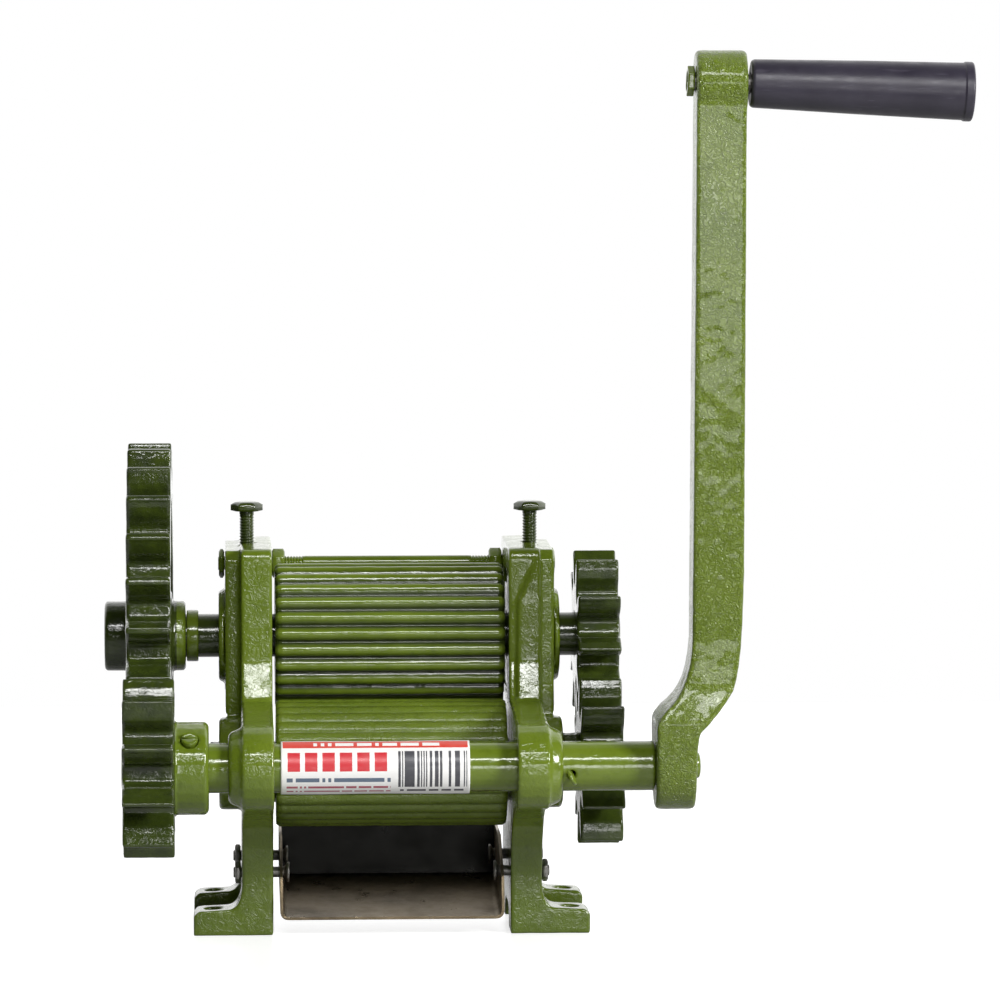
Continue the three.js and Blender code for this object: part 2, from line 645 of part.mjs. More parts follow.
/** A piece of the right side and its mirror image on the left. */
function placePair(name, body, material) {
  place(`right_${name}`, body, material);
  place(`left_${name}`, mirroredX(body), material);
}

const pinionAngle = meshingAngle(CORE, DRIVE_TEETH, DRIVE_TOOTH_ANGLE, CRANK, PINION_TEETH);
const lowerGearAngle = meshingAngle(CORE, ROLLER_TEETH, ROLLER_TOOTH_ANGLE, LOWER, ROLLER_TEETH);

place('right_side_frame', sideFrame([frontRib()]), enamel);
place('left_side_frame', mirroredX(sideFrame([])), enamel);
placePair('bearing_block', bearingBlock(), enamel);
placePair('adjusting_bolt', adjustingBolt(), enamel);
place('juice_tray', tray(), zinc);
TRAY_SCREW_Y.forEach((y, i) => {
  const where = ['front', 'rear'][i];
  placePair(`${where}_tray_screw`, trayScrew(y), steel);
  placePair(`${where}_tray_nut`, nut([y, TRAY_SCREW_Z], WEB_OUT + GAP,
    WEB_OUT + GAP + TRAY_NUT_LENGTH, TRAY_NUT_R, TRAY_SCREW_R), steel);
});
[['upper', UPPER_ROD, HOUSING_OUT, THIN_NUT_LENGTH], ['lower', LOWER_ROD, WEB_OUT, NUT_LENGTH]].forEach(
  ([level, centre, seat, length]) => {
    place(`${level}_tie_rod`, tieRod(centre, seat + length + 0.6), enamel);
    placePair(`${level}_tie_inner_nut`, nut(centre, WEB_IN - GAP - NUT_LENGTH, WEB_IN - GAP), enamel);
    placePair(`${level}_tie_outer_nut`, nut(centre, seat + GAP, seat + GAP + length), enamel);
  });

place('upper_roller', roller(CORE, UPPER_ROLLER_R, UPPER_FLUTES, UPPER_FLUTE_DEPTH), enamel);
place('upper_roller_shaft', rollerShaft(CORE, ...SHAFT_ENDS), enamel);
place('drive_gear', driveGear(), enamel);
place('drive_gear_set_screw', radialRod(DRIVE_SCREW_X, CORE, DRIVE_SCREW_ANGLE, SHAFT_R + GAP, 17, BOLT_R),
  enamel);
place('shaft_collar', rodX(CORE, COLLAR_R, DRIVE_X[1] + 6.3, COLLAR_END)
  .subtract(rodX(CORE, SHAFT_R + GAP, -95, -75)), enamel);
place('upper_roller_gear', rollerGear(CORE, ROLLER_TOOTH_ANGLE), enamel);

place('lower_roller', roller(LOWER, LOWER_ROLLER_R, LOWER_FLUTES, LOWER_FLUTE_DEPTH), enamel);
place('lower_roller_shaft', rollerShaft(LOWER, LOWER_SHAFT_START, SHAFT_ENDS[1]), enamel);
place('lower_roller_gear', rollerGear(LOWER, lowerGearAngle).add(lowerHub()), enamel);

place('crank_shaft', crankShaft(), enamel);
place('crank_pinion', pinion(pinionAngle), enamel);
place('pinion_set_screw', radialRod(PINION_SCREW_X, CRANK, PINION_SCREW_ANGLE, CRANK_SHAFT_R + GAP,
  PINION_HUB_R + 1.5, PINION_SCREW_R), enamel);
place('split_pin', splitPin(), enamel);
place('shaft_label', shaftLabel(), paper);
place('crank_arm', crankArm(), enamel);
place('grip_spindle', gripSpindle(), steel);
place('spindle_nut', spindled(nut([0, 0], -14.2, -11.2, 6.5, SPINDLE_R)), enamel);
place('grip', grip(), plastic);

// ---- origin: the centre of the footprint, on the bench ----
const box = new THREE.Box3().setFromObject(mill);
const centre = box.getCenter(new THREE.Vector3());
mill.position.set(-centre.x, -centre.y, -box.min.z);
mill.updateMatrixWorld(true);

export default mill;
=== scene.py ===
"""Looks for the hand-cranked cane mill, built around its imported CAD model. Units are metres, +Z is up."""

import json
import math

import bmesh
import bpy
import numpy as np
from mathutils import Matrix, Vector


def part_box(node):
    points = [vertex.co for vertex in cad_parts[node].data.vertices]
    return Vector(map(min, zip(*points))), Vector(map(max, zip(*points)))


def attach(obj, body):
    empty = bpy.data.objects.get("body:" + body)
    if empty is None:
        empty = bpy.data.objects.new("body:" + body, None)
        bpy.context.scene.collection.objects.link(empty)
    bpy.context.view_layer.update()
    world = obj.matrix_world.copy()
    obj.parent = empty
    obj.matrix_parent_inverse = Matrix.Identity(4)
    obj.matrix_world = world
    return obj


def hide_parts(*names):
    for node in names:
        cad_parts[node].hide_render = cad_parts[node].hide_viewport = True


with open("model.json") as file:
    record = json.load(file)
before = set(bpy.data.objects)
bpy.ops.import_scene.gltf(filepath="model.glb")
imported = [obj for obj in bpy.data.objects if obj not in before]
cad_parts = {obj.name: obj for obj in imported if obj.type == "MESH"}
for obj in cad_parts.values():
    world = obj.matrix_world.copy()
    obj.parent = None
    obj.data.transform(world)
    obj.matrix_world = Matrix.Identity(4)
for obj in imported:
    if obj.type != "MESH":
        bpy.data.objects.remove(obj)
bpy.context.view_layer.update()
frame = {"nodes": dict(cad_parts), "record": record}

MM = 0.001
ROOM_LIGHT = 0.03
WALL_LIGHT = 1.4
FLOOR_GLOW = 0.69
FLOOR_HALF = 0.8
CAMERA_YAW = 2.75  # degrees to the right
CAMERA_PITCH = 4.73  # degrees down
CAMERA_BACK = 2.483  # from the upper roller's centre, as are the next two
CAMERA_RIGHT = 0.0486
CAMERA_UP = 0.0586
LENS = 205.2
LIGHTS_AIM = Vector((0, 0, 0.15))
UPPER_RADIUS = 31.4 * MM
UPPER_FLUTES = 26
LOWER_FLUTES = 30
SHAFT_BORE = 9.7 * MM
COLLAR_RADIUS = 11.2 * MM
BOLT_RADIUS = 3.2 * MM  # of the adjusting bolts and the tie rods
BOLT_HEAD = 4.1 * MM
TIE_THREAD = 38 * MM
TIE_NUT = (6.4 * MM, 3.3 * MM)  # corner and hole
TRAY_NUT = (4.9 * MM, 2.6 * MM)
DRIVE_SCREW_ANGLE = math.radians(40)
PINION_SCREW_ANGLE = math.radians(136)
SPLIT_PIN_ANGLE = math.radians(193)
PIN_WIRE = 0.85 * MM
BEHAVIOUR = frame["record"]["behaviour"]
BODY_OF = {node: body for body, nodes in BEHAVIOUR["bodies"].items() for node in nodes}
JOINT_AT = {joint["name"]: joint for joint in BEHAVIOUR["joints"]}


# ---- places, from the frame ----
def axis_point(joint):
    """The (Y, Z) of a joint's axis along X."""
    return JOINT_AT[joint]["pos_m"][1], JOINT_AT[joint]["pos_m"][2]


UPPER_AXIS = axis_point("upper_roller_spin")
LOWER_AXIS = axis_point("lower_roller_spin")
CRANK_AXIS = axis_point("crank_spin")
MIDDLE_X = sum(corner[0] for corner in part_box("upper_roller")) / 2
SPINDLE_AT = Vector(JOINT_AT["grip_spin"]["pos_m"])
SPINDLE_ALONG = Vector(JOINT_AT["grip_spin"]["axis"]).normalized()


# ---- camera, light and floor ----
def make_camera():
    """A long lens, a little above the mill and turned slightly to the right."""
    yaw, pitch = math.radians(CAMERA_YAW), math.radians(CAMERA_PITCH)
    forward = Vector((math.sin(yaw) * math.cos(pitch), math.cos(yaw) * math.cos(pitch), -math.sin(pitch)))
    right = Vector((math.cos(yaw), -math.sin(yaw), 0))
    up = right.cross(forward)
    roller_centre = Vector((MIDDLE_X, *UPPER_AXIS))
    data = bpy.data.cameras.new("camera")
    data.sensor_width = 36
    data.lens = LENS
    data.clip_end = 50
    camera = bpy.data.objects.new("camera", data)
    bpy.context.scene.collection.objects.link(camera)
    place = roller_centre - forward * CAMERA_BACK + right * CAMERA_RIGHT + up * CAMERA_UP
    turn = Matrix((right, up, -forward)).transposed().to_4x4()
    camera.matrix_world = Matrix.Translation(place) @ turn
    bpy.context.scene.camera = camera


def soft_box(name, place, size, power):
    data = bpy.data.lights.new(name, "AREA")
    data.shape = "RECTANGLE"
    data.size, data.size_y = size
    data.energy = power
    light = bpy.data.objects.new(name, data)
    light.location = place
    light.rotation_euler = (LIGHTS_AIM - Vector(place)).to_track_quat("-Z", "Y").to_euler()
    bpy.context.scene.collection.objects.link(light)


def studio_world():
    """White in the camera's view. It lights the mill with a bright wall behind and a dim room in front."""
    world = bpy.data.worlds.new("studio")
    bpy.context.scene.world = world
    world.use_nodes = True
    tree = world.node_tree
    tree.nodes.clear()

    def add(kind, **settings):
        node = tree.nodes.new(kind)
        for key, value in settings.items():
            setattr(node, key, value)
        return node

    def faded(value, low, high, to_low, to_high):
        node = add("ShaderNodeMapRange", interpolation_type="SMOOTHSTEP")
        for key, number in zip(("From Min", "From Max", "To Min", "To Max"), (low, high, to_low, to_high)):
            node.inputs[key].default_value = number
        tree.links.new(value, node.inputs["Value"])
        return node.outputs["Result"]

    direction = add("ShaderNodeSeparateXYZ")
    tree.links.new(add("ShaderNodeTexCoord").outputs["Generated"], direction.inputs[0])
    wall = faded(direction.outputs["Y"], -0.05, 0.3, ROOM_LIGHT, WALL_LIGHT)
    ceiling = faded(direction.outputs["Z"], 0.6, 0.98, 1.0, 0.2)
    strength = add("ShaderNodeMath", operation="MULTIPLY")
    tree.links.new(wall, strength.inputs[0])
    tree.links.new(ceiling, strength.inputs[1])
    lit = add("ShaderNodeBackground")
    tree.links.new(strength.outputs[0], lit.inputs["Strength"])
    lit.inputs["Color"].default_value = (1, 1, 1, 1)
    seen = add("ShaderNodeBackground")
    seen.inputs["Color"].default_value = (1, 1, 1, 1)
    mix = add("ShaderNodeMixShader")
    tree.links.new(add("ShaderNodeLightPath").outputs["Is Camera Ray"], mix.inputs["Fac"])
    tree.links.new(lit.outputs[0], mix.inputs[1])
    tree.links.new(seen.outputs[0], mix.inputs[2])
    tree.links.new(mix.outputs[0], add("ShaderNodeOutputWorld").inputs[0])


def make_lights():
    soft_box("key", (1.5, -1.3, 0.95), (0.5, 0.5), 44)
    soft_box("front_fill", (0.32, -2.9, 0.25), (0.7, 0.4), 8)
    soft_box("top_strip", (0.05, -1.65, 1.4), (0.9, 0.22), 17)
    studio_world()
    bpy.context.scene.view_settings.view_transform = "Standard"


# ---- materials ----
class Nodes:
    """A material's node tree with short ways to add nodes."""

    def __init__(self, name):
        self.material = bpy.data.materials.new(name)
        self.material.use_nodes = True
        self.tree = self.material.node_tree
        self.shader = self.tree.nodes["Principled BSDF"]
        self.place = self.add("ShaderNodeTexCoord").outputs["Object"]

    def add(self, kind, **settings):
        node = self.tree.nodes.new(kind)
        for key, value in settings.items():
            setattr(node, key, value)
        return node

    def link(self, output, target):
        self.tree.links.new(output, target)

    def noise(self, scale, detail=3.0, roughness=0.55, distortion=0.0, at=None):
        node = self.add("ShaderNodeTexNoise")
        node.inputs["Scale"].default_value = scale
        node.inputs["Detail"].default_value = detail
        node.inputs["Roughness"].default_value = roughness
        node.inputs["Distortion"].default_value = distortion
        self.link(at or self.place, node.inputs["Vector"])
        return node.outputs["Fac"]

    def stretched(self, scales):
        node = self.add("ShaderNodeMapping")
        node.inputs["Scale"].default_value = scales
        self.link(self.place, node.inputs["Vector"])
        return node.outputs["Vector"]

    def ranged(self, value, low, high, to_low=0.0, to_high=1.0):
        node = self.add("ShaderNodeMapRange")
        for key, number in zip(("From Min", "From Max", "To Min", "To Max"), (low, high, to_low, to_high)):
            node.inputs[key].default_value = number
        self.link(value, node.inputs["Value"])
        return node.outputs["Result"]

    def maths(self, operation, a, b):
        node = self.add("ShaderNodeMath", operation=operation)
        for socket, value in zip(node.inputs, (a, b)):
            if isinstance(value, (int, float)):
                socket.default_value = value
            else:
                self.link(value, socket)
        return node.outputs[0]

    def mixed(self, factor, a, b):
        """A blend of two colours, each a tuple or an output."""
        node = self.add("ShaderNodeMix", data_type="RGBA")
        if isinstance(factor, (int, float)):
            node.inputs[0].default_value = factor
        else:
            self.link(factor, node.inputs[0])
        for socket, value in ((node.inputs[6], a), (node.inputs[7], b)):
            if isinstance(value, tuple):
                socket.default_value = (*value, 1)
            else:
                self.link(value, socket)
        return node.outputs[2]

    def bump(self, height, distance, strength=1.0, before=None):
        node = self.add("ShaderNodeBump")
        node.inputs["Distance"].default_value = distance
        node.inputs["Strength"].default_value = strength
        self.link(height, node.inputs["Height"])
        if before:
            self.link(before, node.inputs["Normal"])
        return node.outputs["Normal"]

    def parts(self, vector):
        """A vector's X, Y and Z."""
        node = self.add("ShaderNodeSeparateXYZ")
        self.link(vector, node.inputs[0])
        return node.outputs

    def edges(self, low, high):
        """How sharply the surface turns: outer edges where low is less than high, hollows where it is more."""
        return self.ranged(self.add("ShaderNodeNewGeometry").outputs["Pointiness"], low, high)

    def set(self, **values):
        for key, value in values.items():
            socket = self.shader.inputs[key.replace("_", " ")]
            if isinstance(value, (int, float)):
                socket.default_value = value
            elif isinstance(value, tuple):
                socket.default_value = (*value, 1)
            else:
                self.link(value, socket)


GREEN = (0.108, 0.158, 0.010)
GREEN_DEEP = (0.045, 0.070, 0.006)
GREEN_PALE = (0.138, 0.192, 0.018)
GREEN_BLACK = (0.018, 0.027, 0.006)
IRON = (0.045, 0.042, 0.036)


def enamel(name, grain, grain_height, wrinkle, wrinkle_height, gloss, painted_shade_x=None, flutes=None):
    """Thick gloss enamel over iron, with the casting's grain and the paint's worm-like wrinkles.
    Both are given in marks per metre, each with its height in metres.
    The seventh argument gives the X, from the mill's middle, past which the enamel is darkened with painted
    shade, left and right.
    flutes gives a roller's axis (Y, Z) and radius: the valleys between its flutes are darkened with painted
    shade."""
    n = Nodes(name)
    cloudy = n.ranged(n.noise(38, 4), 0.35, 0.68)
    thin = n.ranged(n.noise(210, 4, 0.6), 0.55, 0.75)
    base = n.mixed(cloudy, GREEN, GREEN_PALE)
    base = n.mixed(n.maths("MULTIPLY", thin, 0.35), base, GREEN_DEEP)
    # Painted shade: the enamel is darkened in hollows and creases, where shade falls.
    painted_hollow_shade = n.edges(0.48, 0.43)
    base = n.mixed(n.maths("MULTIPLY", painted_hollow_shade, 0.75), base, GREEN_DEEP)
    chips = n.maths("MULTIPLY", n.edges(0.56, 0.62), n.ranged(n.noise(420, 5, 0.7), 0.6, 0.66))
    base = n.mixed(chips, base, IRON)
    # Painted shade: past the given X limits the enamel is darkened nearly to black, standing in for the shade
    # on the gears, shafts and bolts.
    if painted_shade_x:
        left, right = (MIDDLE_X + limit for limit in painted_shade_x)
        x = n.parts(n.place)[0]
        beyond = n.maths("ADD", n.maths("LESS_THAN", x, left), n.maths("GREATER_THAN", x, right))
        painted_end_shade = n.maths("MULTIPLY", beyond, n.ranged(n.noise(130, 5, 0.6), 0.3, 0.65, 0.76, 0.96))
        base = n.mixed(painted_end_shade, base, GREEN_BLACK)
    if flutes:
        (axis_y, axis_z), radius = flutes
        y_and_z = n.parts(n.place)[1:]
        rise = [n.maths("SUBTRACT", part, middle) for part, middle in zip(y_and_z, (axis_y, axis_z))]
        squares = [n.maths("MULTIPLY", part, part) for part in rise]
        distance = n.maths("SQRT", n.maths("ADD", *squares), 0)
        # Painted shade: the valleys between the flutes are darkened nearly to black, where shade falls.
        painted_valley_shade = n.ranged(distance, radius - 0.3 * MM, radius - 1.9 * MM)
        base = n.mixed(n.maths("MULTIPLY", painted_valley_shade, 0.92), base, GREEN_BLACK)
    # Painted shade: the enamel is darkened towards the bottom, below 75 mm, where less light falls on the legs
    # and feet.
    low = n.ranged(n.parts(n.place)[2], 75 * MM, 12 * MM, 0, 0.6)
    base = n.mixed(n.maths("MULTIPLY", low, n.ranged(n.noise(30, 4), 0.3, 0.6, 0.6, 1.0)), base, GREEN_DEEP)
    specks = n.ranged(n.noise(1500, 2), 0.74, 0.8)
    base = n.mixed(n.maths("MULTIPLY", specks, 0.4), base, GREEN_PALE)
    rough = n.ranged(n.noise(130, 5, 0.6), 0.3, 0.7, gloss, gloss + 0.12)
    patches = n.ranged(n.noise(24, 3), 0.38, 0.6, 0.25, 1.0)
    pits = n.maths("MULTIPLY", n.noise(grain, 2.5, 0.55, 0.4), patches)
    worms = n.maths("ABSOLUTE", n.maths("SUBTRACT", n.noise(wrinkle, 2, 0.5, 1.2), 0.5), 0)
    normal = n.bump(n.ranged(worms, 0.0, 0.12), wrinkle_height)
    normal = n.bump(pits, grain_height, 1.0, normal)
    n.set(Base_Color=base, Roughness=n.maths("ADD", rough, n.maths("MULTIPLY", chips, 0.4)), Normal=normal)
    n.set(Specular_IOR_Level=0.5, Coat_Weight=0.25, Coat_Roughness=0.06)
    return n.material


def plastic(name):
    """Moulded grip: violet-black, with fine scratches and handling marks."""
    n = Nodes(name)
    base = n.mixed(n.ranged(n.noise(60, 4), 0.35, 0.7), (0.022, 0.019, 0.030), (0.034, 0.030, 0.045))
    scratches = n.ranged(n.noise(700, 2, 0.6, 0, n.stretched((0.12, 1, 1))), 0.62, 0.72)
    base = n.mixed(n.maths("MULTIPLY", scratches, 0.25), base, (0.1, 0.09, 0.12))
    rough = n.ranged(n.noise(180, 5, 0.6), 0.3, 0.7, 0.30, 0.46)
    normal = n.bump(n.noise(1600, 2), 0.00003)
    normal = n.bump(scratches, -0.00002, 0.6, normal)
    n.set(Base_Color=base, Roughness=rough, Normal=normal, Specular_IOR_Level=0.5)
    return n.material


def bare_steel(name, tint, rough_low, streaks, painted_shade_from=None):
    """Plain or galvanised steel with stains and streaks drawn along X; behind the Y given as the fifth
    argument, faces not turned to the back are painted near black as painted shade.
    """
    n = Nodes(name)
    stain = n.ranged(n.noise(45, 6, 0.65), 0.35, 0.7)
    dark = tuple(value * 0.45 for value in tint)
    base = n.mixed(stain, tint, dark)
    brown = n.ranged(n.noise(150, 5, 0.7), 0.55, 0.75)
    base = n.mixed(n.maths("MULTIPLY", brown, 0.5), base, (0.16, 0.11, 0.06))
    # Painted shade: behind the given Y, faces not turned to the back are painted near black, standing in for
    # the shade inside the tray's back wall.
    if painted_shade_from:
        ragged = n.maths("ADD", n.parts(n.place)[1], n.ranged(n.noise(90, 4), 0.3, 0.7, -0.001, 0.001))
        faced = n.maths("LESS_THAN", n.parts(n.add("ShaderNodeTexCoord").outputs["Normal"])[1], 0.3)
        painted_back_wall_shade = n.maths("MULTIPLY", faced, n.ranged(ragged, painted_shade_from - 5 * MM, painted_shade_from))
        base = n.mixed(painted_back_wall_shade, base, (0.008, 0.008, 0.007))
    drawn = n.noise(900, 3, 0.6, 0, n.stretched((streaks, 1, 1)))
    rough = n.ranged(n.noise(90, 5, 0.6), 0.3, 0.7, rough_low, rough_low + 0.25)
    normal = n.bump(drawn, 0.00004)
    normal = n.bump(n.noise(70, 3), 0.0004, 0.5, normal)
    n.set(Base_Color=base, Metallic=0.85, Roughness=rough, Normal=normal)
    return n.material


def label_paper(name):
    """Coated paper with plain blocks and bars; across and up come from the piece's own attribute."""
    n = Nodes(name)
    spot = n.add("ShaderNodeAttribute", attribute_name="label_place")
    across, up = n.parts(spot.outputs["Vector"])[:2]

    def between(value, low, high):
        return n.maths("MULTIPLY", n.maths("GREATER_THAN", value, low), n.maths("LESS_THAN", value, high))

    def block(left, right, low, high):
        return n.maths("MULTIPLY", between(across, left, right), between(up, low, high))

    def bars(count, share, seed):
        step = n.maths("FLOOR", n.maths("MULTIPLY", across, count), 0)
        chance = n.add("ShaderNodeTexWhiteNoise", noise_dimensions="1D")
        n.link(n.maths("ADD", step, seed), chance.inputs["W"])
        return n.maths("LESS_THAN", chance.outputs["Value"], share)

    white, red, ink = (0.86, 0.85, 0.83), (0.66, 0.05, 0.03), (0.07, 0.07, 0.08)
    base = n.mixed(block(0.01, 0.99, 0.80, 0.97), white, red)
    dashes = n.maths("MULTIPLY", block(0.17, 0.84, 0.84, 0.92), bars(52, 0.6, 5))
    base = n.mixed(dashes, base, white)
    for step in range(6):
        left = 0.035 + 0.092 * step
        base = n.mixed(block(left, left + 0.066, 0.46, 0.72), base, (0.60, 0.03, 0.04))
    for low, high, count, seed in ((0.31, 0.37, 64, 2), (0.20, 0.24, 90, 7), (0.11, 0.145, 90, 9)):
        line = n.maths("MULTIPLY", block(0.03, 0.58, low, high), bars(count, 0.8, seed))
        base = n.mixed(line, base, (0.42, 0.10, 0.13) if seed > 2 else (0.12, 0.16, 0.22))
    code = n.maths("MULTIPLY", block(0.62, 0.985, 0.22, 0.74), bars(150, 0.5, 21))
    base = n.mixed(code, base, ink)
    digits = n.maths("MULTIPLY", block(0.63, 0.97, 0.12, 0.17), bars(60, 0.62, 4))
    base = n.mixed(digits, base, ink)
    grime = n.ranged(n.noise(120, 5, 0.6), 0.5, 0.8)
    base = n.mixed(n.maths("MULTIPLY", grime, 0.12), base, (0.5, 0.48, 0.42))
    rough = n.ranged(n.noise(200, 3), 0.3, 0.7, 0.28, 0.42)
    n.set(Base_Color=base, Roughness=rough, Normal=n.bump(n.noise(110, 3), 0.00012))
    return n.material


def floor_material():
    """A white table top. Its own glow is for the camera only, so it casts no light up onto the mill."""
    n = Nodes("pale_floor")
    n.set(Base_Color=(0.45, 0.45, 0.45), Roughness=n.ranged(n.noise(3, 2), 0.3, 0.7, 0.3, 0.4))
    seen = n.add("ShaderNodeLightPath").outputs["Is Camera Ray"]
    n.set(Emission_Color=(1.0, 1.0, 1.0), Emission_Strength=n.maths("MULTIPLY", seen, FLOOR_GLOW))
    return n.material


CASTING = enamel("enamel_on_casting", 700, 0.00012, 240, 0.00006, 0.10)
ROUGH_CASTING = enamel("enamel_on_rough_casting", 760, 0.00036, 430, 0.00034, 0.15)
SPECKLED = enamel("enamel_on_worn_roller", 1000, 0.00060, 500, 0.00012, 0.13)
FLUTED = enamel("enamel_on_fluted_roller", 520, 0.00006, 160, 0.00003, 0.11,
                flutes=(UPPER_AXIS, UPPER_RADIUS))
TURNED = enamel("enamel_on_turned_steel", 520, 0.00006, 160, 0.00003, 0.11)
# These two carry painted shade: gear teeth, roller shafts and adjusting bolts are darkened towards black as if
# in shade.
GEAR_ENAMEL_WITH_PAINTED_SHADE = enamel("enamel_with_painted_shade", 700, 0.00016, 240, 0.00004, 0.10, (-92.0 * MM, 74.2 * MM))
SHAFT_ENAMEL_WITH_PAINTED_SHADE = enamel("enamel_on_shaft_with_painted_shade", 520, 0.00006, 160, 0.00003, 0.11, (0, 0))
GRIP_PLASTIC = plastic("grip_plastic")
STEEL = bare_steel("plain_steel", (0.34, 0.33, 0.31), 0.3, 0.2)
SHEET = bare_steel("galvanised_sheet", (0.25, 0.195, 0.12), 0.24, 0.04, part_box("juice_tray")[1][1] - 2.5 * MM)
PAPER = label_paper("label_paper")


# ---- mesh tools ----
def mesh_object(name, points, faces):
    mesh = bpy.data.meshes.new(name)
    mesh.from_pydata([tuple(p) for p in points], [], faces)
    mesh.validate()
    mesh.update()
    piece = bpy.data.objects.new(name, mesh)
    bpy.context.scene.collection.objects.link(piece)
    work = bmesh.new()
    work.from_mesh(mesh)
    bmesh.ops.recalc_face_normals(work, faces=work.faces)
    work.to_mesh(mesh)
    work.free()
    mesh.shade_smooth()
    return piece


def baked(piece):
    """Applies a piece's modifiers to its mesh."""
    bpy.context.view_layer.update()
    evaluated = piece.evaluated_get(bpy.context.evaluated_depsgraph_get())
    mesh = bpy.data.meshes.new_from_object(evaluated)
    piece.modifiers.clear()
    piece.data = mesh
    mesh.shade_smooth()
    return piece


def lumps(piece, size, height):
    """Shallow waves in the surface, as sand casting and thick paint leave."""
    texture = bpy.data.textures.new(f"{piece.name}_lumps", "CLOUDS")
    texture.noise_scale = size
    texture.noise_depth = 2
    modifier = piece.modifiers.new("lumps", "DISPLACE")
    modifier.texture = texture
    modifier.texture_coords = "GLOBAL"
    modifier.strength = height
    modifier.mid_level = 0.6


def copied(node):
    piece = bpy.data.objects.new(f"{node}_body", frame["nodes"][node].data.copy())
    piece.data.materials.clear()
    bpy.context.scene.collection.objects.link(piece)
    work = bmesh.new()
    work.from_mesh(piece.data)
    bmesh.ops.remove_doubles(work, verts=work.verts, dist=1e-6)
    work.to_mesh(piece.data)
    work.free()
    return piece


def finished(piece, material, node):
    """Gives a piece its material and puts it in its CAD node's place."""
    piece.data.materials.clear()
    piece.data.materials.append(material)
    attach(piece, BODY_OF[node])
    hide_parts(node)
    return piece


def casting(node, material, voxel=0.8 * MM, rounding=8, height=0.25 * MM):
    """A CAD solid with its edges rounded and its faces a little uneven, as a sand casting's are."""
    piece = copied(node)
    remesh = piece.modifiers.new("skin", "REMESH")
    remesh.mode = "VOXEL"
    remesh.voxel_size = voxel
    remesh.adaptivity = 0
    smooth = piece.modifiers.new("round", "SMOOTH")
    smooth.factor = 0.5
    smooth.iterations = rounding
    lumps(piece, 0.009, height)
    return finished(baked(piece), material, node)


def grid_faces(rows, columns, closed_rows=False, closed_columns=True):
    """Quads of a grid of points, row after row."""
    faces = []
    for i in range(rows if closed_rows else rows - 1):
        for j in range(columns if closed_columns else columns - 1):
            k, m = (i + 1) % rows, (j + 1) % columns
            faces.append((i * columns + j, i * columns + m, k * columns + m, k * columns + j))
    return faces


def lined(along):
    """A turn that takes +X to a direction."""
    return Vector((1, 0, 0)).rotation_difference(Vector(along)).to_matrix()


def revolved(name, profile, place, along=(1, 0, 0), sides=96, shape=None):
    """A profile of (distance along, radius) turned about a line.
    shape(angle, distance, radius) may change a radius.
    A profile that starts off the axis is taken as a closed ring."""
    ring = profile[0][1] > 1e-6
    turn = lined(along)
    points = []
    for distance, radius in profile:
        for j in range(sides):
            angle = 2 * math.pi * j / sides
            r = shape(angle, distance, radius) if shape else radius
            points.append(Vector(place) + turn @ Vector((distance, r * math.cos(angle), r * math.sin(angle))))
    faces = grid_faces(len(profile), sides, closed_rows=ring)
    piece = mesh_object(name, points, faces)
    if not ring:
        work = bmesh.new()
        work.from_mesh(piece.data)
        bmesh.ops.remove_doubles(work, verts=work.verts, dist=1e-7)
        bmesh.ops.recalc_face_normals(work, faces=work.faces)
        work.to_mesh(piece.data)
        work.free()
    return piece


def softened(profile, radius, steps=4):
    """A profile with each inner corner rounded off by an arc-like curve."""
    result = [profile[0]]
    for before, here, after in zip(profile, profile[1:], profile[2:]):
        here, before, after = Vector(here), Vector(before), Vector(after)
        reach = min(radius, (here - before).length * 0.45, (after - here).length * 0.45)
        start = here + (before - here).normalized() * reach
        end = here + (after - here).normalized() * reach
        for i in range(steps + 1):
            t = i / steps
            result.append(tuple(start.lerp(here, t).lerp(here.lerp(end, t), t)))
    result.append(profile[-1])
    return result


def threaded(name, place, along, length, radius, threads, pitch=1.27 * MM, sides=28):
    """A rod with helical threads in the stretches (from, to) along it, and a plain shank elsewhere."""
    depth = 0.42 * pitch
    step = pitch / 7
    count = max(2, round(length / step))
    profile = [(0, 0), (0, radius - depth)]
    profile += [(length * i / count, radius) for i in range(count + 1)]
    profile += [(length, radius - depth), (length, 0)]

    def shape(angle, distance, r):
        if r < radius:
            return r
        cover = max(min((distance - low) / pitch, (high - distance) / pitch, 1) for low, high in threads)
        phase = (distance / pitch - angle / (2 * math.pi)) % 1
        groove = depth * (1 - abs(2 * phase - 1) * 1.15)
        worn = min(1, distance / pitch + 0.35, (length - distance) / pitch + 0.35)
        return r - max(0, min(groove, depth)) * max(0, cover) - (1 - worn) * depth

    return revolved(name, profile, place, along, sides, shape)


def hexagon(corner, first=0.0):
    """A shape function for a hexagonal head or nut, with one corner at the angle first."""
    flat = corner * math.cos(math.pi / 6)

    def shape(angle, distance, radius):
        if radius < flat * 0.9:
            return radius
        wedge = ((angle - first) % (math.pi / 3)) - math.pi / 6
        return min(radius, flat / math.cos(wedge))

    return shape


def nut_profile(low, high, corner, hole):
    """A nut's section: threaded hole, washer faces and chamfered corners."""
    flat = corner * math.cos(math.pi / 6)
    drop = (corner - flat * 0.94) * math.tan(math.radians(30))
    return [(low + 0.4 * MM, hole), (low, hole + 0.4 * MM), (low, flat * 0.94), (low + drop, corner),
            (high - drop, corner), (high, flat * 0.94), (high, hole + 0.4 * MM), (high - 0.4 * MM, hole)]


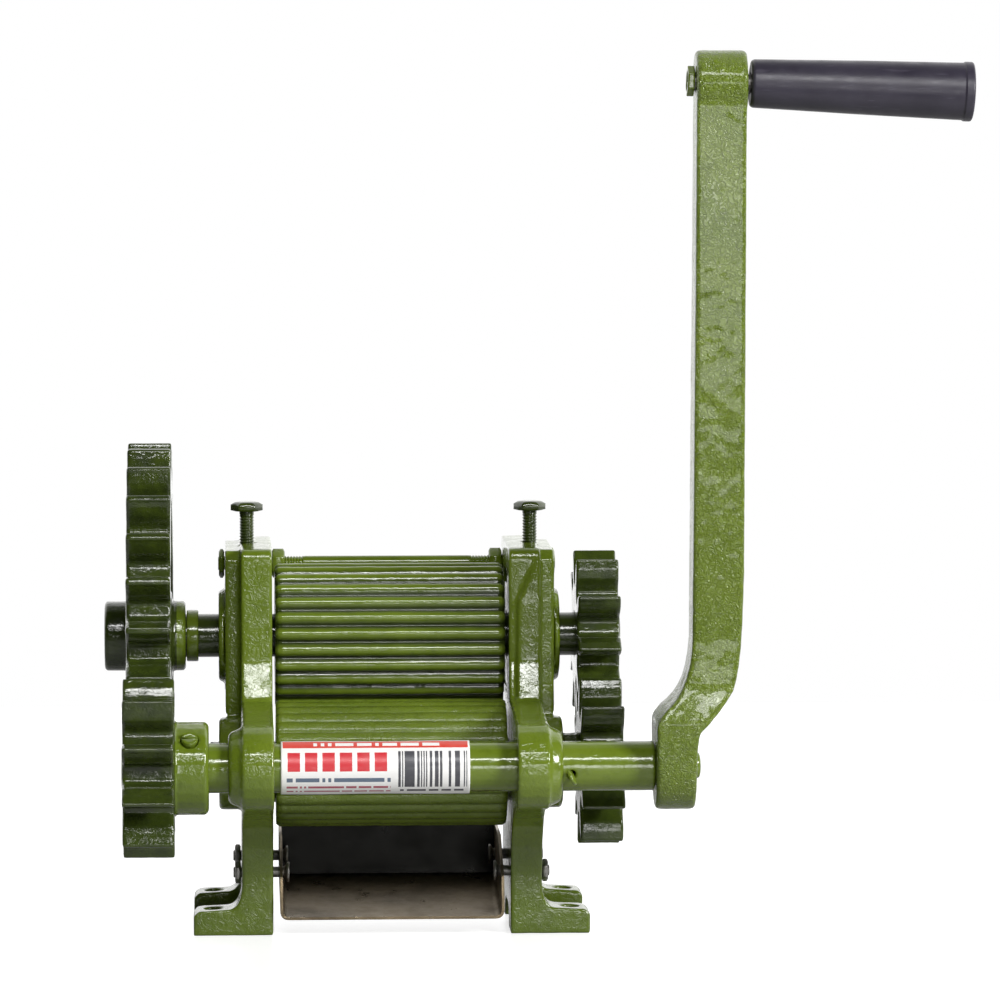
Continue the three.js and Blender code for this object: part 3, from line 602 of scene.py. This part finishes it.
def hex_nut(node, corner, hole, material):
    """A nut on a rod along X, its corners turned as the CAD nut's are."""
    low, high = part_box(node)
    centre = (low + high) / 2
    place = Vector((low[0], centre[1], centre[2]))
    first = 0 if high[1] - low[1] > high[2] - low[2] else math.pi / 2
    profile = nut_profile(0, high[0] - low[0], corner, hole)
    body = revolved(f"{node}_body", profile, place, shape=hexagon(corner, first))
    finished(body, material, node)


# ---- pieces ----
def frames_and_blocks():
    for side in ("left", "right"):
        casting(f"{side}_side_frame", CASTING, 0.7 * MM, 6)
        casting(f"{side}_bearing_block", CASTING, 0.7 * MM, 6)


def gears():
    casting("drive_gear", GEAR_ENAMEL_WITH_PAINTED_SHADE, 0.75 * MM, 4)
    for node in ("crank_pinion", "upper_roller_gear", "lower_roller_gear"):
        casting(node, GEAR_ENAMEL_WITH_PAINTED_SHADE, 0.65 * MM, 4)


def fluted_roller(node, axis, flutes, depth, material):
    """Rounded ridges along the roller, with narrow valleys and uneven cast faces."""
    low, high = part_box(node)
    radius = (high[2] - low[2]) / 2
    length = high[0] - low[0]
    rings = [(length * i / 60, radius) for i in range(61)]
    face = radius - depth - 1.6 * MM
    profile = [(0, SHAFT_BORE), (0, face), *rings, (length, face), (length, SHAFT_BORE)]

    def shape(angle, distance, r):
        if r < radius:
            return r
        across = (angle * flutes / (2 * math.pi)) % 1
        ridge = math.sin(math.pi * across) ** 0.8
        edge = min(distance, length - distance) / (1.6 * MM)
        fall = 1.1 * MM * max(0, 1 - edge) ** 2
        return r - depth * (1 - ridge) - fall

    piece = revolved(f"{node}_body", profile, (low[0], *axis), sides=flutes * 14, shape=shape)
    lumps(piece, 0.006, 0.3 * MM)
    return finished(baked(piece), material, node)


def rollers():
    fluted_roller("upper_roller", UPPER_AXIS, UPPER_FLUTES, 2.8 * MM, FLUTED)
    fluted_roller("lower_roller", LOWER_AXIS, LOWER_FLUTES, 0.9 * MM, SPECKLED)


def round_shaft(node, axis, material):
    """A turned shaft with chamfered ends."""
    edge = 0.8 * MM
    low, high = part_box(node)
    radius = (high[2] - low[2]) / 2
    length = high[0] - low[0]
    steps = [(edge + (length - 2 * edge) * i / 80, radius) for i in range(81)]
    profile = [(0, 0), (0, radius - edge), *steps, (length, radius - edge), (length, 0)]
    piece = revolved(f"{node}_body", profile, (low[0], *axis))
    lumps(piece, 0.012, 0.12 * MM)
    return finished(baked(piece), material, node)


def shafts():
    round_shaft("upper_roller_shaft", UPPER_AXIS, SHAFT_ENAMEL_WITH_PAINTED_SHADE)
    round_shaft("lower_roller_shaft", LOWER_AXIS, SHAFT_ENAMEL_WITH_PAINTED_SHADE)
    low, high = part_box("shaft_collar")
    length = high[0] - low[0]
    ring = [(0, SHAFT_BORE), (0, COLLAR_RADIUS), (length, COLLAR_RADIUS), (length, SHAFT_BORE)]
    ring = [ring[0], *softened(ring, 0.8 * MM)[1:-1], ring[-1]]
    finished(revolved("shaft_collar_body", ring, (low[0], *UPPER_AXIS)), TURNED, "shaft_collar")
    casting("crank_shaft", TURNED, 0.6 * MM, 5, 0.1 * MM)


def crank():
    casting("crank_arm", ROUGH_CASTING, 0.75 * MM, 10, 0.3 * MM)
    low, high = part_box("grip")
    inner = (low[0] - SPINDLE_AT[0]) / SPINDLE_ALONG[0] + 0.4 * MM
    length = (high[0] - low[0]) / SPINDLE_ALONG[0] - 1.1 * MM
    end = length / MM
    outline = [(0, 4.6), (0, 9.3), (1.2, 10.1), (end * 0.5, 11.25), (end - 4.2, 12.0), (end - 3.6, 12.45),
               (end - 0.6, 12.45), (end, 11.8), (end, 7.8), (end - 8.6, 7.6), (end - 8.6, 4.6)]
    profile = softened([(x * MM, r * MM) for x, r in outline], 0.7 * MM)
    place = SPINDLE_AT + SPINDLE_ALONG * inner
    finished(revolved("grip_body", profile, place, SPINDLE_ALONG, 128), GRIP_PLASTIC, "grip")
    casting("grip_spindle", STEEL, 0.5 * MM, 3, 0.05 * MM)
    casting("spindle_nut", TURNED, 0.4 * MM, 4, 0.1 * MM)


def fasteners():
    for side in ("left", "right"):
        low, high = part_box(f"{side}_adjusting_bolt")
        centre = (low + high) / 2
        corner = (high[0] - low[0]) / 2
        shank = high[2] - low[2] - BOLT_HEAD
        bolt = threaded(f"{side}_adjusting_bolt_body", (centre[0], centre[1], low[2]), (0, 0, 1),
                        shank + 1 * MM, BOLT_RADIUS, [(0, shank - 1 * MM)])
        flat = corner * math.cos(math.pi / 6)
        top = [(0, 0), (0, flat * 0.9), (0.3 * MM, corner), (BOLT_HEAD - 1.3 * MM, corner),
               (BOLT_HEAD - 0.3 * MM, flat * 0.86), (BOLT_HEAD, flat * 0.6), (BOLT_HEAD, 0)]
        seat = (centre[0], centre[1], low[2] + shank)
        cap = revolved("cap", top, seat, (0, 0, 1), shape=hexagon(corner, math.pi / 2))
        join_into(bolt, cap)
        finished(bolt, SHAFT_ENAMEL_WITH_PAINTED_SHADE, f"{side}_adjusting_bolt")
    for level in ("upper", "lower"):
        node = f"{level}_tie_rod"
        low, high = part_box(node)
        centre = (low + high) / 2
        length = high[0] - low[0]
        rod = threaded(f"{node}_body", (low[0], centre[1], centre[2]), (1, 0, 0), length, BOLT_RADIUS,
                       [(0, TIE_THREAD), (length - TIE_THREAD, length)])
        finished(rod, TURNED, node)
        for side in ("left", "right"):
            for where in ("inner", "outer"):
                hex_nut(f"{side}_{level}_tie_{where}_nut", *TIE_NUT, TURNED)
    for side in ("left", "right"):
        for where in ("front", "rear"):
            hex_nut(f"{side}_{where}_tray_nut", *TRAY_NUT, STEEL)
            casting(f"{side}_{where}_tray_screw", STEEL, 0.35 * MM, 3, 0.04 * MM)
    set_screw("drive_gear_set_screw", DRIVE_SCREW_ANGLE)
    set_screw("pinion_set_screw", PINION_SCREW_ANGLE)
    split_pin(SPLIT_PIN_ANGLE)


def slotted(piece, end, along, across, width, depth):
    """Cuts a screwdriver slot across a screw's end."""
    side = Vector(along).cross(across)
    corners = []
    for i, j, k in ((i, j, k) for i in (-1, 1) for j in (-1, 1) for k in (-1, 1)):
        corners.append(end + along * depth * i + side * width / 2 * j + across * 8 * MM * k)
    faces = [(0, 1, 3, 2), (4, 6, 7, 5), (0, 4, 5, 1), (2, 3, 7, 6), (0, 2, 6, 4), (1, 5, 7, 3)]
    blade = mesh_object("blade", corners, faces)
    cut = piece.modifiers.new("slot", "BOOLEAN")
    cut.operation = "DIFFERENCE"
    cut.object = blade
    baked(piece)
    bpy.data.objects.remove(blade)


def set_screw(node, angle):
    """A slotted screw pointing out from a hub at an angle in radians from +Y towards +Z."""
    low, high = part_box(node)
    size = high - low
    radius = size[0] / 2
    length = (size[1] - 2 * radius * abs(math.sin(angle))) / abs(math.cos(angle))
    along = Vector((0, math.cos(angle), math.sin(angle)))
    middle = (low + high) / 2
    start, end = middle - along * length / 2, middle + along * length / 2
    screw = threaded(f"{node}_body", start, along, length, radius, [(0, length - 1.6 * MM)])
    slotted(screw, end, along, Vector((1, 0, 0)), 1.1 * MM, 1.3 * MM)
    finished(screw, TURNED, node)


def tube(name, path, radius, sides=14):
    """A round wire along a smooth curve through the points of path."""
    points = [Vector(point) for point in path]
    line = []
    for i in range(len(points) - 1):
        before, start, end, after = (points[max(0, min(k, len(points) - 1))] for k in range(i - 1, i + 3))
        for step in range(6):
            t = step / 6
            pull = (end - before) * t + (2 * before - 5 * start + 4 * end - after) * t ** 2
            pull += (3 * start - 3 * end + after - before) * t ** 3
            line.append(start + pull / 2)
    line.append(points[-1])
    rings = []
    normal = (line[1] - line[0]).orthogonal().normalized()
    for i, point in enumerate(line):
        along = (line[min(i + 1, len(line) - 1)] - line[max(i - 1, 0)]).normalized()
        normal = (normal - along * normal.dot(along)).normalized()
        other = along.cross(normal)
        for j in range(sides):
            angle = 2 * math.pi * j / sides
            rings.append(point + (normal * math.cos(angle) + other * math.sin(angle)) * radius)
    faces = grid_faces(len(line), sides)
    faces += [tuple(range(sides)), tuple(len(rings) - 1 - j for j in range(sides))]
    return mesh_object(name, rings, faces)


def split_pin(angle):
    """A split pin: its eye is in front of the shaft, and its legs are spread behind."""
    low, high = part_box("split_pin")
    middle_x = (low[0] + high[0]) / 2
    leg = [(-13.8, 3.0), (-12.4, 1.6), (-10.9, 0.8), (-5, 0.75), (5, 0.75), (10.9, 0.8)]
    eye = [(12.7, 2.2), (15.0, 2.4), (16.7, 0), (15.0, -2.4), (12.7, -2.2)]
    path = []
    for out, aside in leg + eye + [(out, -aside) for out, aside in reversed(leg)]:
        tilt = math.radians(60)
        around = aside * math.sin(tilt)
        path.append((middle_x + aside * MM * math.cos(tilt),
                     CRANK_AXIS[0] + (out * math.cos(angle) - around * math.sin(angle)) * MM,
                     CRANK_AXIS[1] + (out * math.sin(angle) + around * math.cos(angle)) * MM))
    finished(tube("split_pin_body", path, PIN_WIRE), TURNED, "split_pin")


def join_into(piece, other):
    """Adds another object's mesh to a piece and removes the other."""
    work = bmesh.new()
    work.from_mesh(piece.data)
    work.from_mesh(other.data)
    work.to_mesh(piece.data)
    work.free()
    bpy.data.objects.remove(other)
    piece.data.shade_smooth()


def tray():
    piece = copied("juice_tray")
    bevel = piece.modifiers.new("edge", "BEVEL")
    bevel.width = 0.35 * MM
    bevel.segments = 2
    bevel.limit_method = "ANGLE"
    baked(piece)
    normals = piece.modifiers.new("normals", "WEIGHTED_NORMAL")
    normals.keep_sharp = True
    finished(piece, SHEET, "juice_tray")


def label():
    """The paper label, pressed round the front of the crank shaft, its long edges a little loose."""
    low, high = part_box("shaft_label")
    rows, columns = 60, 120
    inner, thickness = 10.75 * MM, 0.25 * MM
    start, end = math.radians(92), math.radians(258)
    points, places = [], []
    for layer in (0, 1):
        for i in range(rows):
            up = i / (rows - 1)
            angle = end + (start - end) * up
            for j in range(columns):
                across = j / (columns - 1)
                loose = 0.25 * MM * max(0, 1 - min(up, 1 - up) * 14) * (0.6 + 0.4 * math.sin(9 * across))
                r = inner + loose + layer * thickness
                x = low[0] + (high[0] - low[0]) * across
                points.append((x, CRANK_AXIS[0] + r * math.cos(angle), CRANK_AXIS[1] + r * math.sin(angle)))
                places.append((across, up, 0))
    faces = []
    size = rows * columns
    for quad in grid_faces(rows, columns, False, False):
        faces.append(quad)
        faces.append(tuple(size + k for k in reversed(quad)))
    rim = list(range(columns))
    rim += [i * columns + columns - 1 for i in range(1, rows)]
    rim += [(rows - 1) * columns + j for j in range(columns - 2, -1, -1)]
    rim += [i * columns for i in range(rows - 2, 0, -1)]
    for a, b in zip(rim, rim[1:] + rim[:1]):
        faces.append((a, b, size + b, size + a))
    piece = mesh_object("shaft_label_body", points, faces)
    place = piece.data.attributes.new("label_place", "FLOAT_VECTOR", "POINT")
    place.data.foreach_set("vector", np.array(places, np.float32).ravel())
    finished(piece, PAPER, "shaft_label")


def floor():
    corners = [(-1, -1), (1, -1), (1, 1), (-1, 1)]
    points = [(x * FLOOR_HALF, y * FLOOR_HALF, 0) for x, y in corners]
    piece = mesh_object("bench_top", points, [(0, 1, 2, 3)])
    piece.data.materials.append(floor_material())


make_camera()
make_lights()
floor()
frames_and_blocks()
gears()
rollers()
shafts()
crank()
fasteners()
tray()
label()

bpy.context.view_layer.update()
